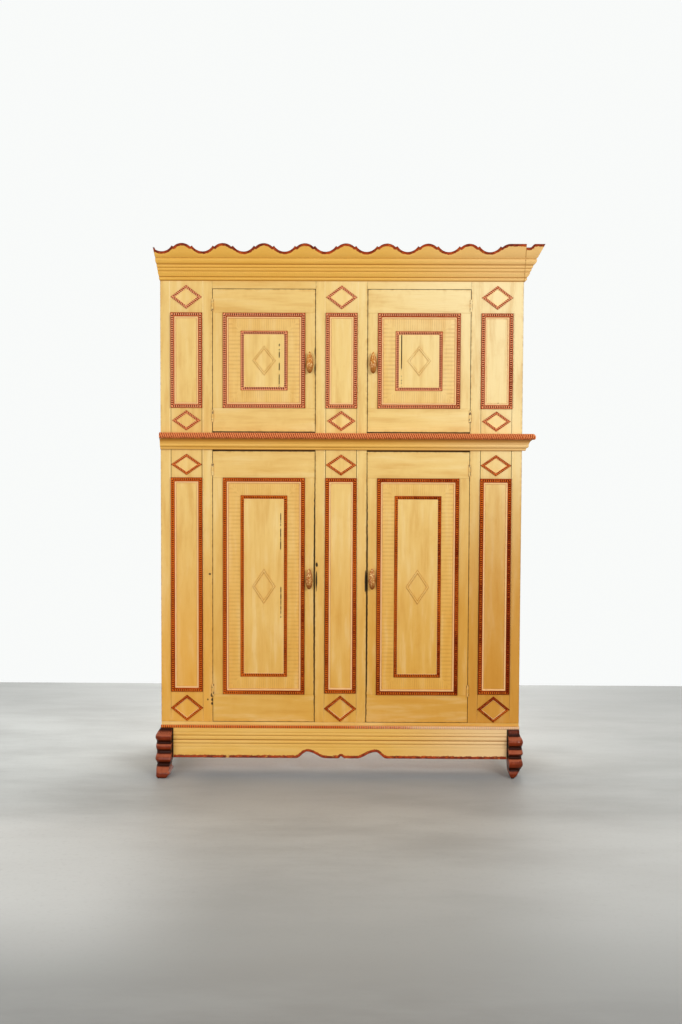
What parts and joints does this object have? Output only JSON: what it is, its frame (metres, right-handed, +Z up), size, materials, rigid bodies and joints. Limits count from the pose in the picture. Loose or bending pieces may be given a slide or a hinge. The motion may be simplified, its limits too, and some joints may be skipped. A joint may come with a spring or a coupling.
{
  "type": "kas cupboard",
  "caption": "Tall painted kas cupboard with short framed doors over tall ones, scalloped cornice and skirt, moulded waist and carved feet.",
  "frame": {"origin": "middle of the whole footprint at the floor, under all four feet", "axes": "+Z up, +X to the right as seen from the front, +Y towards the back, doors on the -Y side"},
  "size_m": [1.502, 0.571, 2.076],
  "materials": {
    "yellow_paint": "ochre paint, satin, worn",
    "red_paint": "red-brown paint, notched moulding",
    "dark_red_paint": "dark red varnish over carving",
    "bare_wood": "unpainted aged softwood",
    "polished_wood": "orange-brown varnished turning",
    "iron": "old iron, partly painted over"
  },
  "bodies": {
    "case": {"side_left": "yellow_paint", "side_right": "yellow_paint", "bottom_board": "bare_wood", "lower_shelf": "bare_wood", "middle_board": "bare_wood", "upper_shelf": "bare_wood", "top_board": "bare_wood", "back_boards": "bare_wood", "pilaster_left": "yellow_paint", "pilaster_right": "yellow_paint", "pilaster_centre": "yellow_paint", "pilaster_left_upper_frame": "red_paint", "pilaster_left_lower_frame": "red_paint", "pilaster_centre_upper_frame": "red_paint", "pilaster_centre_lower_frame": "red_paint", "pilaster_right_upper_frame": "red_paint", "pilaster_right_lower_frame": "red_paint", "top_rail": "yellow_paint", "mid_rail": "yellow_paint", "bottom_rail": "yellow_paint", "cornice_front": "yellow_paint", "cornice_return": "yellow_paint", "waist_cove": "yellow_paint", "waist_strip": "red_paint", "waist_return": "red_paint", "skirt": "yellow_paint", "foot_left": "dark_red_paint", "foot_right": "dark_red_paint", "hinge_upper_left_bottom": "iron", "hinge_upper_left_top": "iron", "hinge_upper_right_bottom": "iron", "hinge_upper_right_top": "iron", "hinge_lower_left_bottom": "iron", "hinge_lower_left_top": "iron", "hinge_lower_right_bottom": "iron", "hinge_lower_right_top": "iron"},
    "door_upper_left": {"door_upper_left_frame": "yellow_paint", "door_upper_left_panel": "yellow_paint", "door_upper_left_outer_moulding": "red_paint", "door_upper_left_inner_moulding": "red_paint"},
    "pull_upper_left": {"pull_upper_left": "polished_wood", "latch_upper_left": "bare_wood"},
    "door_upper_right": {"door_upper_right_frame": "yellow_paint", "door_upper_right_panel": "yellow_paint", "door_upper_right_outer_moulding": "red_paint", "door_upper_right_inner_moulding": "red_paint"},
    "pull_upper_right": {"pull_upper_right": "polished_wood", "latch_upper_right": "bare_wood"},
    "door_lower_left": {"door_lower_left_frame": "yellow_paint", "door_lower_left_panel": "yellow_paint", "door_lower_left_outer_moulding": "red_paint", "door_lower_left_inner_moulding": "red_paint"},
    "pull_lower_left": {"pull_lower_left": "polished_wood", "latch_lower_left": "bare_wood"},
    "door_lower_right": {"door_lower_right_frame": "yellow_paint", "door_lower_right_panel": "yellow_paint", "door_lower_right_outer_moulding": "red_paint", "door_lower_right_inner_moulding": "red_paint"},
    "pull_lower_right": {"pull_lower_right": "polished_wood", "latch_lower_right": "bare_wood"}
  },
  "joints": [
    {"name": "door_upper_left_swing", "type": "hinge", "parent": "case", "child": "door_upper_left", "pos_m": [-0.52849, -0.2175, 1.634], "axis": [0, 0, -1], "range_deg": [0, 160]},
    {"name": "pull_upper_left_turn", "type": "hinge", "parent": "door_upper_left", "child": "pull_upper_left", "pos_m": [-0.14949, -0.2145, 1.626], "axis": [0, -1, 0], "range_deg": [0, 90]},
    {"name": "door_upper_right_swing", "type": "hinge", "parent": "case", "child": "door_upper_right", "pos_m": [0.47651, -0.2175, 1.634], "axis": [0, 0, 1], "range_deg": [0, 160]},
    {"name": "pull_upper_right_turn", "type": "hinge", "parent": "door_upper_right", "child": "pull_upper_right", "pos_m": [0.09751, -0.2145, 1.626], "axis": [0, 1, 0], "range_deg": [0, 90]},
    {"name": "door_lower_left_swing", "type": "hinge", "parent": "case", "child": "door_lower_left", "pos_m": [-0.52849, -0.2175, 0.747], "axis": [0, 0, -1], "range_deg": [0, 160]},
    {"name": "pull_lower_left_turn", "type": "hinge", "parent": "door_lower_left", "child": "pull_lower_left", "pos_m": [-0.14949, -0.2145, 0.78332], "axis": [0, -1, 0], "range_deg": [0, 90]},
    {"name": "door_lower_right_swing", "type": "hinge", "parent": "case", "child": "door_lower_right", "pos_m": [0.47651, -0.2175, 0.747], "axis": [0, 0, 1], "range_deg": [0, 160]},
    {"name": "pull_lower_right_turn", "type": "hinge", "parent": "door_lower_right", "child": "pull_lower_right", "pos_m": [0.09751, -0.2145, 0.78332], "axis": [0, 1, 0], "range_deg": [0, 90]}
  ]
}
